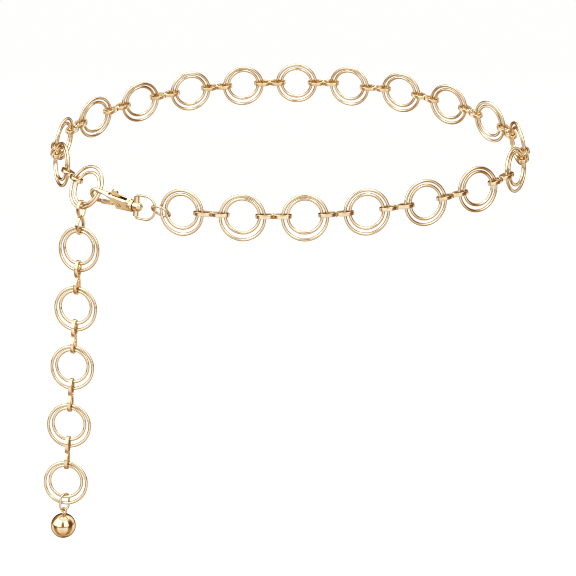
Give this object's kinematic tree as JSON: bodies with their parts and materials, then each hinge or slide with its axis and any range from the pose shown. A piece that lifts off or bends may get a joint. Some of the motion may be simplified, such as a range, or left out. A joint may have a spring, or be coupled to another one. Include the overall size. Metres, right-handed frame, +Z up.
{
  "type": "waist chain",
  "caption": "Waist chain of double round rings joined by figure-eight connectors, closed by a swivel snap hook, with a hanging tail that ends in a polished ball; held as worn on the hips.",
  "frame": {"origin": "middle of the waist loop, where the wearer's waist passes through it", "axes": "+Z up, -Y towards the wearer's front, +X to the wearer's left"},
  "size_m": [0.3248, 0.1978, 0.3105],
  "materials": {
    "pale_gold": "polished, pale gold plated"
  },
  "bodies": {
    "chain": {"ring_01": "pale_gold", "ring_02": "pale_gold", "ring_03": "pale_gold", "ring_04": "pale_gold", "ring_05": "pale_gold", "ring_06": "pale_gold", "ring_07": "pale_gold", "ring_08": "pale_gold", "ring_09": "pale_gold", "ring_10": "pale_gold", "ring_11": "pale_gold", "ring_12": "pale_gold", "ring_13": "pale_gold", "ring_14": "pale_gold", "ring_15": "pale_gold", "ring_16": "pale_gold", "ring_17": "pale_gold", "ring_18": "pale_gold", "ring_19": "pale_gold", "ring_20": "pale_gold", "tail_ring_1": "pale_gold", "tail_ring_2": "pale_gold", "tail_ring_3": "pale_gold", "tail_ring_4": "pale_gold", "tail_ring_5": "pale_gold", "waist_connectors": "pale_gold", "tail_connectors": "pale_gold", "hook_body": "pale_gold", "rivet": "pale_gold", "jump_ring": "pale_gold"},
    "lever": {"gate_lever": "pale_gold"},
    "swivel": {"swivel_head": "pale_gold", "d_loop": "pale_gold"},
    "end_link": {"end_link": "pale_gold"},
    "ball": {"ball": "pale_gold"}
  },
  "joints": [
    {"name": "gate_hinge", "type": "hinge", "parent": "chain", "child": "lever", "pos_m": [-0.11072, -0.07005, -0.03438], "axis": [0.4599, 0.7255, 0.512], "range_deg": [0, 20], "stiffness_Nm_per_rad": 0.005, "springref_deg": -17.19},
    {"name": "hook_swivel", "type": "hinge", "parent": "chain", "child": "swivel", "pos_m": [-0.10159, -0.07515, -0.03536], "axis": [0.8725, -0.4763, -0.109], "range_deg": [-30, 8]},
    {"name": "end_link_swing", "type": "hinge", "parent": "chain", "child": "end_link", "pos_m": [-0.15263, -0.05839, -0.23328], "axis": [0.9927, -0.0923, -0.0781], "range_deg": [-10, 10]},
    {"name": "ball_swing", "type": "hinge", "parent": "end_link", "child": "ball", "pos_m": [-0.15338, -0.05839, -0.24284], "axis": [0.7086, 0.7034, -0.0558], "range_deg": [-45, 45]}
  ]
}
